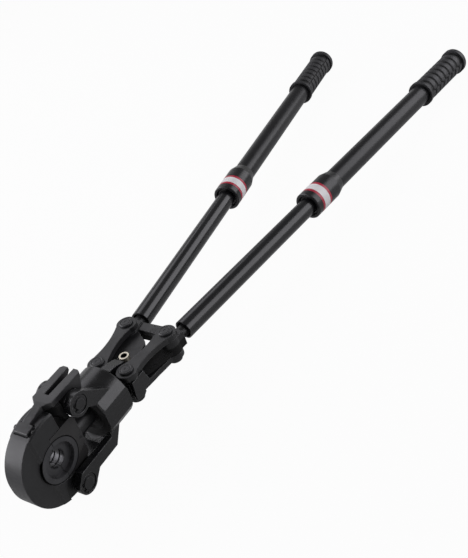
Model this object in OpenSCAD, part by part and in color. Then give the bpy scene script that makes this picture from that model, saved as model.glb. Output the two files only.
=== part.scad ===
// Hand press tool for pipe fittings: dies in a hinged C jaw, swivel head, toggle links and telescopic handles.
// The tool lies along +Y from the jaw to the grips. The crimping bore is along +X and the link pins along +Z.
// The origin is the centre of the crimping bore.

/* [Dies] */
// Radius of the crimping bore
crimp_r = 8.3; // [6:0.1:10]
// Outside radius of the die pair
die_r = 21.3; // [20:0.1:22.5]
// Radius of the recess in each end face of the dies
die_recess_r = 16; // [12:0.1:18]
// Depth of that recess
die_recess_depth = 4.5; // [2:0.1:6]
// Gap between the two die halves when closed
parting_gap = 0.4; // [0.3:0.1:1]

/* [Jaw] */
// Width of the jaw, the dies and the carrier
jaw_w = 24; // [22:0.5:28]
// Thickness of the jaw's crown in front of the dies
crown_t = 18.2; // [16:0.1:22]
// Depth of the step on each face of the crown
crown_step = 2; // [1:0.1:4]
// Reach of the upper horn behind the die centre
jaw_tip_y = 12.9; // [10:0.1:15]
// Distance of the hinge behind the die centre
hinge_y = 8.3; // [6:0.1:11]
// Radius of the hinge pin
hinge_pin_r = 5.5; // [4:0.1:6.5]
// Radius of the jaw's hinge lug
hinge_lug_r = 9.6; // [8.5:0.1:10]

/* [Yoke] */
// Thickness of each ear and arm
cheek_t = 7.2; // [5:0.1:10]
// Radius of the neck
neck_r = 28; // [26:0.5:32]
// Front face of the neck, behind the die centre
neck_y0 = 50; // [48:0.5:53]
// Length of the neck
neck_len = 33; // [30:0.5:38]
// Distance of the keeper pin behind the die centre
keeper_y = 36.2; // [34:0.1:38]
// Radius of the keeper
keeper_r = 10.8; // [9:0.1:11.5]
// Radius of the keeper pin
keeper_pin_r = 5; // [3.5:0.1:6]
// Rim of the ears around the keeper's radius
ear_rim = 0.7; // [0.3:0.1:2]
// Height of the lower arms
arm_h = 12.5; // [10:0.1:15]

/* [Latch] */
// Width of the forked lever
lever_w = 22; // [18:0.5:24]
// Thickness of the lever
lever_t = 5.4; // [4:0.1:7]
// Tip of the tines, behind the die centre
lever_tip_y = 57; // [55:0.5:62]
// Width of the slot between the tines, at their tips
fork_slot_w = 6.8; // [3:0.1:8]
// Width of the T-shaped foot
foot_w = 16; // [12:0.1:17]
// Width of the lever's neck
lever_neck_w = 8.3; // [6:0.1:10]
// Place of the latch pin along the tool
latch_y = -8; // [-10:0.1:-7]

/* [Ram] */
// Radius of the ram
ram_r = 9.5; // [8.5:0.1:11]
// Radius of the ram's tail
tail_r = 6; // [5.5:0.1:6.5]
// Travel of the ram
ram_travel = 12.3; // [10:0.1:13]

/* [Linkage] */
// Place of the link pins on the rear body, across the tool
front_pin_x = 17.4; // [16.8:0.1:18]
// Place of the link pins on the rear body, along the tool
front_pin_y = 96.2; // [95.5:0.1:97]
// Place of the link pins on the brackets, across the tool
rear_pin_x = 24.1; // [23:0.1:26]
// Place of the link pins on the brackets, along the tool
rear_pin_y = 151; // [147:0.5:155]
// Place of the central pivot along the tool
pivot_y = 114; // [112:0.5:116]
// Radius of the pins on the rear body
front_pin_r = 4.2; // [3.5:0.1:4.6]
// Radius of the pins on the brackets
rear_pin_r = 5; // [4:0.1:6]
// Radius of the link eyes
link_eye_r = 10; // [9:0.1:11]
// Thickness of each link plate
link_t = 6; // [4:0.1:8]
// Half height of the brackets and lugs between the link plates
lug_h = 8.45; // [7.8:0.05:10]
// Angle of each handle to the tool's axis
handle_angle = 7.28; // [5:0.1:9]

/* [Handles] */
// Radius of the inner tube
inner_tube_r = 10; // [9:0.1:11]
// Radius of the outer tube
outer_tube_r = 12.5; // [12.2:0.1:14]
// Wall of the tubes
tube_wall = 1.5; // [1.2:0.1:1.7]
// Start of the inner tube, from the rear link pin
tube_start = 20.7; // [19:0.1:24]
// Bare length of the inner tube when drawn out
bare_len = 219; // [180:1:260]
// Length of the locking collar
collar_len = 53; // [47:1:60]
// Radius of the locking collar
collar_r = 16; // [15.5:0.1:18]
// Length of the outer tube between the collar and the grip
outer_len = 213; // [190:1:240]
// Length of the grip
grip_len = 100; // [80:1:130]
// Radius over the grip's ribs
grip_r = 15.3; // [14.6:0.1:17]
// Number of ribs on the grip
rib_count = 8; // [5:1:12]

/* [Hidden] */
$fn = 64;
// Overrun of every cut
over = 1;
// Running clearance of pins, shafts and slides
fit = 0.05;
// Clearance between bodies that pass each other
pass = 0.3;

// Dies and carrier
die_w = jaw_w;
die_seat_r = die_r + fit;
land_w = 3;
land_groove = 0.7;
carrier_wall = 4.2;
carrier_back = 8.7;
carrier_clear = 0.4;
carrier_corner_r = 6;
carrier_chamfer = 1.2;
carrier_h = die_r + carrier_wall;
carrier_y1 = die_r + carrier_back;
side_relief = 3;
relief_rear_z = -5;
relief_knee_y = 28.9;
relief_knee_z = -7.8;
relief_front_y = 9.3;
relief_front_z = -17.4;
plunger_r = 2;
plunger_len = 6.5;
plunger_tip = 0.8;
plunger_room = 0.3;

// Jaw outline: two arcs, one above and one below the axis, joined at the crown
jaw_arc_y = 3.3;
jaw_arc_rise = 2.1;
jaw_edge = 1.4;
jaw_arc_r = die_r + crown_t + jaw_arc_y;
jaw_reach = 2 * jaw_arc_r;
cavity_h = carrier_h + carrier_clear;
hinge_drop = 10.5;
hinge_relief_r = 18;
hinge_z = -(cavity_h + hinge_drop);
ramp_y0 = -17.2;
ramp_len = 2.4;

// Yoke
jaw_side_clear = 1.3;
yoke_gap = jaw_w + 2 * jaw_side_clear;
yoke_w = yoke_gap + 2 * cheek_t;
neck_y1 = neck_y0 + neck_len;
neck_chamfer = 1.5;
boss_rim = 1.2;
boss_r = hinge_lug_r + boss_rim;
inner_boss_r = hinge_lug_r;
inset_share = 0.97;
ear_r = keeper_r + ear_rim;
keeper_drop = 8.3;
keeper_z = carrier_h + carrier_clear + keeper_drop;
keeper_side_clear = 0.3;
ear_root_len = 20.5;
ear_root_y = neck_y0 + ear_root_len;
ear_root_z = 19.2;
ear_under_z = 17.9;
web_low_z = 8;
ear_under_angle = -60;
ear_root_dy = ear_root_y - keeper_y;
ear_root_dz = ear_root_z - keeper_z;
ear_tangent = atan2(ear_root_dz, ear_root_dy) + acos(ear_r / norm([ear_root_dy, ear_root_dz]));
arm_cover = 3.2;
arm_in_z = -(carrier_h - arm_cover);
arm_out_z = arm_in_z - arm_h;
arm_heel_dy = -1.8;
arm_root_len = 13;
arm_root_y = neck_y0 + arm_root_len;
arm_root_z = -19;
arm_knee_len = 1.3;
arm_knee_y = neck_y0 + arm_knee_len;
arm_waist_dy = 16.8;
arm_heel_angle = 135;
arm_toe_angle = -45;
neck_flat_x = 25.8;
neck_facet_x = 27.6;
neck_facet_angle = 32.5;
neck_recess_r = 18;
neck_recess = 3;
saddle_clear = 1.2;
saddle_z = -(carrier_h + saddle_clear);
saddle_y0 = 24;
saddle_nose = 3;
saddle_lift = 1.5;
saddle_low_z = arm_out_z + saddle_lift;
saddle_rise = 7.2;
saddle_run = 7.5;
saddle_bow_share = 0.28;
clip_seat_depth = 1.8;
clip_t = 1.2;
clip_width = 2.6;
clip_groove = 0.8;
clip_gap_share = 0.8;
clip_room = 1;
pin_proud = 0.3;
clip_x0 = yoke_w / 2 - clip_seat_depth + fit;
wiper_t = 2;
wiper_y0 = neck_y0 + neck_recess;
bush_wall = 3;
bush_depth = 12;
bush_y1 = neck_y0 + bush_depth;
spigot_r = 17;
spigot_y0 = bush_y1 + pass;
ring_depth = 22;
ring_y = neck_y0 + ring_depth;
ring_t = 2.4;
ring_in = 1.5;
ring_out = 1.5;

// Latch
latch_sink = 1;
latch_z = jaw_arc_rise + sqrt(pow(jaw_arc_r, 2) - pow(latch_y - jaw_arc_y, 2)) - latch_sink;
foot_r = 5.4;
foot_rear = 3.6;
foot_clear = 0.4;
foot_top = 2.2;
latch_pin_r = 2.2;
latch_pin_seat = 2.4;
latch_pin_end = foot_w / 2 + foot_clear + latch_pin_seat;
hook_gap = 0.6;
hook_tip_rise = 2;
hook_tip_t = 3.4;
hook_back_t = 7;
lever_under_z = keeper_z + keeper_r + hook_gap;
lever_top_z = lever_under_z + lever_t;
lever_ramp_run = 3.1;
lever_ramp_y = jaw_tip_y + lever_ramp_run;
lever_neck_room = 0.5;
lever_neck_y1 = jaw_tip_y - lever_neck_room;
shoulder_len = 6;
fork_slot_y = 24.5;
fork_base_share = 0.75;
tine_tip_t = 3.2;
tine_taper = 2.5;
tine_corner = 2.5;

// Ram and crosshead
nose_r = 8;
nose_len = 6;
nose_seat_y = carrier_y1 - nose_len;
carrier_pin_r = 1.8;
head_w = 8.7;
head_h = 7.2;
head_lead = 3.7;
head_y0 = front_pin_y - head_lead;
head_len = 12;
ram_end_room = 2.2;
ram_shoulder_y = head_y0 - ram_travel - ram_end_room;
tail_depth = 10.2;
tail_y1 = head_y0 + tail_depth;
tail_end_room = 0.5;
tail_groove_place = 5;
tail_groove_y = head_y0 + tail_groove_place;
tail_groove_w = 3.2;
tail_groove_depth = 1.5;
ram_pin_r = 1.4;
ram_pin_room = 0.1;
ram_pin_x = tail_r - tail_groove_depth + ram_pin_r + ram_pin_room;
tongue_t = 4.4;
tongue_r = 7.5;

// Rear body
body_y0 = neck_y1 + pass;
flange_r = 22;
flange_t = 1.7;
lug_root_y = body_y0 + flange_t;
lug_rear = 14.8;
lug_y1 = front_pin_y + lug_rear;
lug_side = 6.6;
lug_x = front_pin_x + lug_side;
lug_root_x = 20;
lug_step = 6;
lug_step_y = lug_root_y + lug_step;
lug_chamfer = 3;
lug_notch = 6.5;
lower_eye_r = 7.2;
skirt_room = 1;
skirt_t = 1.7;
skirt_step = 4.2;
skirt_in_x = front_pin_x + lower_eye_r + skirt_room;
skirt_x = skirt_in_x + skirt_t;
skirt_top = 0.4;
skirt_points = [[-9.2, -12.4], [0.8, -14.7], [13.5, -6.4], [9.6, lug_h - skirt_top], [-7, lug_h - skirt_top]];
pin_play = 1;
spine_w = 11;
spine_root_z = 20;
spine_knee_dy = 4.7;
spine_knee_z = 18.5;
spine_top_z = 17;
spine_end_z = 13;
spine_end_dy = 10.8;

// Links
link_z0 = lug_h + pass;
link_z1 = link_z0 + link_t;
link_dx = rear_pin_x - front_pin_x;
link_dy = rear_pin_y - front_pin_y;
link_len = norm([link_dx, link_dy]);
link_lean = atan2(link_dx, link_dy);
link_waist = 10.4;
link_scoop_r = 80;
link_shoulder = 7.8;
lower_shoulder = 5.4;
link_trim = 3.5;
pin_head_r = 6.8;
pin_head_t = 2.2;
pin_head_edge = 0.8;
nut_r = 7;
nut_t = 4.6;
nut_room = 0.15;

// Brackets
nose_eye_r = 8;
nose_t = 3.9;
nose_z0 = tongue_t / 2 + pass;
nose_z1 = nose_z0 + nose_t;
nose_rear_r = 9;
plate_gap = 0.7;
plate_root_x = 7.5;
plate_front_y = lug_y1 + plate_gap;
plate_corner_x = 22;
plate_corner_y = plate_front_y + plate_gap;
plate_side_x = 25.5;
plate_side_dy = 8;
plate_in_x = 7;
plate_in_dy = 16;
plate_tip_x = 5.9;
plate_tip_dy = 23.6;
plate_back_x = 1;
plate_back_dy = 28.7;
plate_eye_x = 8;
plate_eye_dy = 3;
bracket_half_w = 8.5;
bracket_relief = 0.5;
bracket_h = lug_h - bracket_relief;
bracket_len = 13;
stub_r = 6.2;
mouth_depth = 12;
plug_r = inner_tube_r - tube_wall - fit;
plug_len = 28;
tooth_h = 6;
tooth_lag = 3;
tooth_y0 = rear_pin_y + tooth_lag;
tooth_len = 11;
tooth_gap = 0.3;
pivot_r = 4;
pivot_head_r = 5;
pivot_head_h = 5.8;
pivot_thread_r = 3;
pivot_nut_r = 5.8;
pivot_nut_h = 5;
pivot_tail = 0.8;
pivot_room = 0.2;
socket_r = 2.9;
socket_depth = 3.2;

// Handles, along each handle's own axis from its rear link pin
collar_s0 = tube_start + bare_len;
collar_s1 = collar_s0 + collar_len;
grip_s0 = collar_s1 + outer_len;
grip_s1 = grip_s0 + grip_len;
collar_lip = 2.3;
collar_lip_clear = 1.4;
collar_mouth = 3;
collar_edge = 0.8;
collar_cone_len = 10.7;
collar_cone_rim = 0.7;
collar_cone_r = outer_tube_r + collar_cone_rim;
collar_room = 0.1;
collet_len = 13.8;
collet_s0 = collar_s0 + collar_lip + pass;
collet_s1 = collet_s0 + collet_len;
outer_s0 = collet_s1 + pass;
outer_bore_r = outer_tube_r - tube_wall;
bush_len = 40;
bush_s0 = outer_s0 + pass;
inner_tail = 2;
inner_s1 = bush_s0 + bush_len + inner_tail;
band_offset = 8;
band_s0 = collar_s0 + band_offset;
band_len = 17;
band_t = 0.35;
grip_cap_t = 3.4;
outer_s1 = grip_s1 - grip_cap_t;
plug_depth = 12;
grip_flange_rim = 1.3;
grip_flange_r = grip_r + grip_flange_rim;
grip_flange_len = 4;
grip_cap_rim = 1.7;
grip_cap_r = grip_r + grip_cap_rim;
grip_cap_len = 8;
grip_cap_edge = 2;
rib_depth = 1.3;
rib_s0 = grip_s0 + grip_flange_len;
rib_pitch = (grip_s1 - grip_cap_len - rib_s0) / rib_count;
rib_floor_r = grip_r - rib_depth;
rib_root_r = rib_floor_r - rib_depth;
rib_flank_share = 0.1;
rib_top_share = 0.6;
rib_side_share = 0.1;
rib_shift_share = 0.6;
rib_gap_angle = 5;
right_grip_turn = -8;
left_grip_turn = 35;

// Colours
forged = [0.10, 0.10, 0.11];
phosphate = [0.18, 0.18, 0.19];
steel = [0.72, 0.73, 0.75];
gloss = [0.05, 0.05, 0.06];
rubber = [0.07, 0.07, 0.08];
brass = [0.75, 0.62, 0.32];
white = [0.92, 0.91, 0.90];

// Shape helpers
module rod_x(r, x0, x1, y = 0, z = 0) translate([x0, y, z]) rotate([0, 90, 0]) cylinder(r = r, h = x1 - x0);
module rod_y(r, y0, y1, x = 0, z = 0) translate([x, y0, z]) rotate([-90, 0, 0]) cylinder(r = r, h = y1 - y0);
module rod_z(r, z0, z1, x = 0, y = 0) translate([x, y, z0]) cylinder(r = r, h = z1 - z0);
module block(x0, x1, y0, y1, z0, z1) translate([x0, y0, z0]) cube([x1 - x0, y1 - y0, z1 - z0]);
// A side outline drawn in Y and Z, spread across the tool from x0 to x1
module side(x0, x1) translate([x0, 0, 0]) rotate([90, 0, 90]) linear_extrude(x1 - x0) children();
// A plan outline drawn in X and Y, spread upwards from z0 to z1
module plan(z0, z1) translate([0, 0, z0]) linear_extrude(z1 - z0) children();
// A turned outline drawn in radius and length, along +Y
module turned_y() rotate([-90, 0, 0]) rotate_extrude() children();
module both_sides() for (s = [-1, 1]) mirror([s > 0 ? 0 : 1, 0, 0]) children();

// The dies
module die_half(s) {
    intersection() {
        difference() {
            rod_x(die_r, -die_w / 2, die_w / 2);
            rod_x(crimp_r, -die_w, die_w);
            for (e = [-1, 1]) {
                rod_x(die_recess_r, e * die_w / 2 - die_recess_depth, e * die_w / 2 + die_recess_depth);
                rod_x(crimp_r + land_groove, e * land_w - land_w / 2, e * land_w + land_w / 2);
            }
            rod_y(plunger_r + plunger_room, s > 0 ? die_r - plunger_tip - plunger_room : -die_r - over,
                s > 0 ? die_r + over : -die_r + plunger_tip + plunger_room);
        }
        block(-die_w, die_w, s > 0 ? parting_gap / 2 : -2 * die_r, s > 0 ? 2 * die_r : -parting_gap / 2,
            -2 * die_r, 2 * die_r);
    }
}
module front_die() color(phosphate) die_half(-1);
module rear_die() color(phosphate) die_half(1);
module front_die_plunger() color(steel)
    rod_y(plunger_r, -die_r - plunger_len, -die_r + plunger_tip);
module rear_die_plunger() color(steel)
    rod_y(plunger_r, die_r - plunger_tip, nose_seat_y - pass);

// The jaw
function edged(r, w) = [[0, -w], [r - jaw_edge, -w], [r, jaw_edge - w], [r, w - jaw_edge],
    [r - jaw_edge, w], [0, w]];
module jaw_blank(w) {
    for (s = [-1, 1]) translate([0, jaw_arc_y, s * jaw_arc_rise]) rotate([0, 90, 0]) rotate_extrude()
        polygon(edged(jaw_arc_r, w));
    translate([0, jaw_arc_y, -jaw_arc_rise]) linear_extrude(2 * jaw_arc_rise)
        polygon([for (p = edged(jaw_arc_r, w)) [p[1], -p[0]]]);
}
module jaw_clip() {
    translate([-jaw_reach, 0]) square([jaw_reach + jaw_tip_y, jaw_reach]);
    translate([-jaw_reach, -jaw_reach]) square([jaw_reach + hinge_y, jaw_reach + over]);
}
module jaw_body() {
    half = jaw_w / 2;
    intersection() {
        union() {
            jaw_blank(half - crown_step);
            difference() {
                jaw_blank(half);
                crown_step_cut();
            }
        }
        side(-jaw_w, jaw_w) jaw_clip();
    }
    side(-half, half) translate([hinge_y, hinge_z]) circle(hinge_lug_r);
}
module crown_step_cut() {
    face_x = jaw_w / 2;
    both_sides() plan(-jaw_reach, jaw_reach) polygon([[face_x - crown_step, -jaw_reach],
        [face_x + over, -jaw_reach], [face_x + over, ramp_y0 + ramp_len], [face_x, ramp_y0 + ramp_len],
        [face_x - crown_step, ramp_y0]]);
}
module jaw() color(phosphate) difference() {
    jaw_body();
    side(-jaw_w, jaw_w) {
        translate([0, -cavity_h]) square([jaw_reach, 2 * cavity_h]);
        circle(die_seat_r);
    }
    rod_x(hinge_pin_r + fit, -jaw_w, jaw_w, hinge_y, hinge_z);
    both_sides() rod_x(hinge_relief_r, jaw_w / 2 - side_relief, jaw_w, hinge_y, hinge_z);
    rod_x(foot_r + foot_clear, -foot_w / 2 - foot_clear, foot_w / 2 + foot_clear, latch_y, latch_z);
    block(-foot_w / 2 - foot_clear, foot_w / 2 + foot_clear, latch_y - foot_r - foot_clear,
        latch_y + foot_rear + foot_clear, latch_z, jaw_reach);
    side(-lever_neck_w / 2 - foot_clear, lever_neck_w / 2 + foot_clear) polygon([
        [latch_y, lever_top(latch_y) - lever_t - pass],
        [lever_ramp_y, lever_under_z - pass], [lever_ramp_y, jaw_reach], [latch_y, jaw_reach]]);
    rod_x(latch_pin_r + fit, -latch_pin_end, latch_pin_end, latch_y, latch_z);
    rod_y(plunger_r + fit, -die_r - plunger_len - fit, 0);
}
module latch_pin() color(steel)
    rod_x(latch_pin_r, -latch_pin_end + fit, latch_pin_end - fit, latch_y, latch_z);

// The latch: a side outline and a plan outline, cut with each other
function lever_top(y) = latch_z + foot_top + (lever_top_z - latch_z - foot_top)
    * (y - latch_y + foot_r) / (lever_ramp_y - latch_y + foot_r);
module latch_bar_side() polygon([[latch_y, lever_top(latch_y)], [lever_ramp_y, lever_top_z],
    [lever_tip_y, lever_top_z], [lever_tip_y, lever_top_z - tine_tip_t],
    [lever_tip_y - tine_taper, lever_under_z], [lever_ramp_y, lever_under_z],
    [latch_y, lever_top(latch_y) - lever_t]]);
module latch_foot_side() {
    low_z = latch_z - foot_r;
    front_y = latch_y - foot_r;
    intersection() {
        translate([latch_y, latch_z]) circle(foot_r);
        polygon([[front_y, low_z], [lever_ramp_y, low_z], [lever_ramp_y, lever_top_z],
            [front_y, lever_top(front_y)]]);
    }
}
module latch_hook_side() {
    tip_z = keeper_z + hook_tip_rise;
    hook_r = keeper_r + hook_gap;
    in_y = keeper_y + sqrt(pow(hook_r, 2) - pow(hook_tip_rise, 2));
    root_z = lever_under_z + tine_taper / 2;
    difference() {
        polygon([[keeper_y, tip_z], [in_y + hook_tip_t, tip_z], [in_y + hook_back_t, root_z],
            [keeper_y, root_z]]);
        translate([keeper_y, keeper_z]) circle(hook_r);
    }
}
module latch_plan() {
    half = lever_w / 2;
    neck = lever_neck_w / 2;
    fork_base = fork_base_share * fork_slot_w / 2;
    front_y = latch_y - foot_r - over;
    translate([-foot_w / 2, front_y]) square([foot_w, latch_y + foot_rear - front_y]);
    translate([-neck, latch_y]) square([lever_neck_w, lever_neck_y1 - latch_y + shoulder_len]);
    difference() {
        polygon([[-neck, lever_neck_y1], [neck, lever_neck_y1], [half, lever_neck_y1 + shoulder_len],
            [half, lever_tip_y - tine_corner], [half - tine_corner, lever_tip_y],
            [-half + tine_corner, lever_tip_y], [-half, lever_tip_y - tine_corner],
            [-half, lever_neck_y1 + shoulder_len]]);
        polygon([[-fork_base, fork_slot_y], [fork_base, fork_slot_y], [fork_slot_w / 2, lever_tip_y + over],
            [-fork_slot_w / 2, lever_tip_y + over]]);
    }
}
module latch_slice() intersection() {
    side(-lever_w / 2, lever_w / 2) children();
    plan(latch_z - 2 * foot_r, lever_top_z + over) latch_plan();
}
module latch() color(phosphate) difference() {
    union() {
        latch_slice() latch_bar_side();
        latch_slice() latch_foot_side();
        latch_slice() latch_hook_side();
    }
    rod_x(latch_pin_r + fit, -foot_w, foot_w, latch_y, latch_z);
}

// The yoke: neck, ears and arms
module ear_profile() {
    translate([keeper_y, keeper_z]) circle(ear_r);
    in_r = inset_share * ear_r;
    polygon([[keeper_y + in_r * cos(ear_tangent), keeper_z + in_r * sin(ear_tangent)],
        [ear_root_y, ear_root_z], [ear_root_y, web_low_z], [neck_y0, web_low_z], [neck_y0, ear_under_z],
        [keeper_y + in_r * cos(ear_under_angle), keeper_z + in_r * sin(ear_under_angle)],
        [keeper_y, keeper_z]]);
}
module arm_profile() {
    translate([hinge_y, hinge_z]) circle(boss_r);
    in_r = inset_share * boss_r;
    polygon([[hinge_y + in_r * cos(arm_heel_angle), hinge_z + in_r * sin(arm_heel_angle)],
        [hinge_y + arm_heel_dy, arm_in_z], [neck_y0, arm_in_z], [neck_y0, -web_low_z],
        [arm_root_y, -web_low_z],
        [arm_root_y, arm_root_z], [arm_knee_y, arm_out_z], [hinge_y + arm_waist_dy, arm_out_z],
        [hinge_y + in_r * cos(arm_toe_angle), hinge_z + in_r * sin(arm_toe_angle)]]);
}
module neck() difference() {
    turned_y() polygon([[0, neck_y0], [neck_r - neck_chamfer, neck_y0], [neck_r, neck_y0 + neck_chamfer],
        [neck_r, neck_y1 - neck_chamfer], [neck_r - neck_chamfer, neck_y1], [0, neck_y1]]);
    for (a = [0, 180]) rotate([0, a, 0]) {
        neck_cut(neck_flat_x);
        for (s = [-1, 1]) rotate([0, s * neck_facet_angle, 0]) neck_cut(neck_facet_x);
    }
}
module neck_cut(x) block(x, 2 * neck_r, neck_y0 - over, neck_y1 + over, -neck_r, neck_r);
// The saddle closes the fork below the ram
module saddle_profile() polygon([[saddle_y0, saddle_z], [saddle_y0 + saddle_nose, saddle_low_z],
    [arm_knee_y, saddle_low_z], [arm_root_y - over, arm_root_z], [neck_y0 + over, arm_root_z],
    [neck_y0 + over, saddle_z + saddle_rise], [neck_y0, saddle_z + saddle_rise],
    [neck_y0 - saddle_bow_share * saddle_run, saddle_z + saddle_bow_share * saddle_rise],
    [neck_y0 - saddle_run, saddle_z]]);
module pin_seat_cuts(r, y, z) {
    rod_x(r + fit, -yoke_w, yoke_w, y, z);
    both_sides() rod_x(r + clip_width + clip_room, yoke_w / 2 - clip_seat_depth, yoke_w, y, z);
}
module yoke() color(forged) difference() {
    union() {
        neck();
        both_sides() {
            side(yoke_gap / 2, yoke_w / 2) {
                ear_profile();
                arm_profile();
            }
            rod_x(inner_boss_r, jaw_w / 2 - side_relief + pass, yoke_gap / 2 + over, hinge_y, hinge_z);
        }
        side(-yoke_gap / 2 - over, yoke_gap / 2 + over) saddle_profile();
    }
    pin_seat_cuts(keeper_pin_r, keeper_y, keeper_z);
    pin_seat_cuts(hinge_pin_r, hinge_y, hinge_z);
    rod_y(neck_recess_r, neck_y0 - over, neck_y0 + neck_recess);
    rod_y(ram_r + bush_wall + fit, neck_y0, bush_y1);
    rod_y(spigot_r + fit, bush_y1 - fit, neck_y1 + over);
    rod_y(spigot_r + ring_out + pass, ring_y - ring_t / 2 - pass, ring_y + ring_t / 2 + pass);
}
module sleeve_y(r0, r1, y0, y1) difference() {
    rod_y(r1, y0, y1);
    rod_y(r0, y0 - over, y1 + over);
}
module ram_bush() color(brass) sleeve_y(ram_r + fit, ram_r + bush_wall, wiper_y0 + wiper_t, bush_y1);
module wiper_ring() color(rubber) sleeve_y(ram_r + fit, ram_r + bush_wall, wiper_y0, wiper_y0 + wiper_t);
module yoke_pin(r, y, z) difference() {
    rod_x(r, -yoke_w / 2 - pin_proud, yoke_w / 2 + pin_proud, y, z);
    both_sides() difference() {
        rod_x(r + over, clip_x0, clip_x0 + clip_t, y, z);
        rod_x(r - clip_groove, clip_x0 - over, clip_x0 + clip_t + over, y, z);
    }
}
module yoke_clips(r, y, z) both_sides() difference() {
    rod_x(r + clip_width, clip_x0 + fit, clip_x0 + clip_t - fit, y, z);
    rod_x(r - clip_groove + fit, clip_x0 - over, clip_x0 + clip_t + over, y, z);
    block(0, yoke_w, y - 2 * r, y, z - r * clip_gap_share, z + r * clip_gap_share);
}
module jaw_pin() color(steel) yoke_pin(hinge_pin_r, hinge_y, hinge_z);
module jaw_pin_clips() color(phosphate) yoke_clips(hinge_pin_r, hinge_y, hinge_z);
module keeper_pin() color(steel) yoke_pin(keeper_pin_r, keeper_y, keeper_z);
module keeper_pin_clips() color(phosphate) yoke_clips(keeper_pin_r, keeper_y, keeper_z);
module latch_keeper() color(phosphate) difference() {
    half = yoke_gap / 2 - keeper_side_clear;
    rod_x(keeper_r, -half, half, keeper_y, keeper_z);
    rod_x(keeper_pin_r + fit, -yoke_w, yoke_w, keeper_y, keeper_z);
    block(-yoke_w, yoke_w, keeper_y - 2 * keeper_r, keeper_y + 2 * keeper_r, -keeper_r,
        keeper_z - keeper_drop);
}

// The carrier and the ram
module carrier_profile() {
    y0 = parting_gap / 2;
    corner_y = carrier_y1 - carrier_corner_r;
    corner_z = carrier_h - carrier_corner_r;
    polygon([[y0, carrier_chamfer - carrier_h], [y0 + carrier_chamfer, -carrier_h], [corner_y, -carrier_h],
        [corner_y, carrier_h], [y0 + carrier_chamfer, carrier_h], [y0, carrier_h - carrier_chamfer]]);
    translate([corner_y - over, -corner_z]) square([carrier_corner_r + over, 2 * corner_z]);
    for (s = [-1, 1]) translate([corner_y, s * corner_z]) circle(carrier_corner_r);
}
module die_carrier() color(phosphate) difference() {
    side(-jaw_w / 2, jaw_w / 2) carrier_profile();
    both_sides() side(jaw_w / 2 - side_relief, jaw_w) polygon([[carrier_y1 + over, relief_rear_z],
        [relief_knee_y, relief_knee_z], [relief_front_y, relief_front_z], [-over, relief_front_z],
        [-over, -2 * carrier_h], [carrier_y1 + over, -2 * carrier_h]]);
    rod_x(die_seat_r, -jaw_w, jaw_w);
    rod_y(nose_r + fit, nose_seat_y, carrier_y1 + over);
    rod_x(carrier_pin_r + fit, -jaw_w, jaw_w, carrier_y1 - nose_len / 2);
    rod_y(plunger_r + fit, 0, nose_seat_y + over);
}
module carrier_pin() color(steel)
    rod_x(carrier_pin_r, -jaw_w / 2 + pass, jaw_w / 2 - pass, carrier_y1 - nose_len / 2);
module ram_rod() color(steel) difference() {
    union() {
        rod_y(nose_r, nose_seat_y + fit, carrier_y1 + over);
        rod_y(ram_r, carrier_y1 + fit, ram_shoulder_y);
        rod_y(tail_r, ram_shoulder_y - over, tail_y1);
    }
    rod_x(carrier_pin_r + fit, -jaw_w, jaw_w, carrier_y1 - nose_len / 2);
    sleeve_y(tail_r - tail_groove_depth, 2 * tail_r, tail_groove_y - tail_groove_w / 2,
        tail_groove_y + tail_groove_w / 2);
}

// The crosshead and the central pivot
module crosshead() color(phosphate) difference() {
    union() {
        block(-head_w, head_w, head_y0, head_y0 + head_len, -head_h, head_h);
        plan(-tongue_t / 2, tongue_t / 2) {
            translate([-tongue_r, head_y0 + head_len - over])
                square([2 * tongue_r, pivot_y - head_y0 - head_len + over]);
            translate([0, pivot_y]) circle(tongue_r);
        }
    }
    rod_y(tail_r + fit, head_y0 - over, tail_y1 + tail_end_room);
    for (s = [-1, 1]) rod_z(ram_pin_r + fit, -2 * head_h, 2 * head_h, s * ram_pin_x, tail_groove_y);
    rod_z(pivot_r + fit, -head_h, head_h, 0, pivot_y);
}
module ram_pins() color(steel)
    for (s = [-1, 1]) rod_z(ram_pin_r, -head_h, head_h, s * ram_pin_x, tail_groove_y);
module pivot_screw() color(steel) difference() {
    union() {
        rod_z(pivot_head_r, nose_z1 + pivot_room, nose_z1 + pivot_room + pivot_head_h, 0, pivot_y);
        rod_z(pivot_r, -nose_z1, nose_z1 + pivot_room + over, 0, pivot_y);
        rod_z(pivot_thread_r, -nose_z1 - pivot_room - pivot_nut_h - pivot_tail, 0, 0, pivot_y);
    }
    translate([0, pivot_y, nose_z1 + pivot_room + pivot_head_h - socket_depth])
        cylinder(r = socket_r, h = socket_depth + over, $fn = 6);
}
module pivot_nut() color(steel) difference() {
    translate([0, pivot_y, -nose_z1 - pivot_room - pivot_nut_h])
        cylinder(r = pivot_nut_r, h = pivot_nut_h, $fn = 6);
    rod_z(pivot_thread_r + fit, -nose_z1 - 2 * pivot_nut_h, 0, 0, pivot_y);
}

// The rear body and its swivel
module lug_plan() polygon([[-lug_root_x, lug_root_y - over], [lug_root_x, lug_root_y - over],
    [lug_root_x, lug_step_y - over], [lug_x, lug_step_y], [lug_x, lug_y1 - lug_chamfer],
    [lug_x - lug_chamfer, lug_y1], [0, lug_y1 - lug_notch],
    [-lug_x + lug_chamfer, lug_y1], [-lug_x, lug_y1 - lug_chamfer], [-lug_x, lug_step_y],
    [-lug_root_x, lug_step_y - over]]);
module spine_side() polygon([[body_y0, 0], [body_y0, spine_root_z], [body_y0 + spine_knee_dy, spine_knee_z],
    [front_pin_y, spine_top_z], [front_pin_y + spine_end_dy, spine_end_z], [front_pin_y + spine_end_dy, 0]]);
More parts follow.
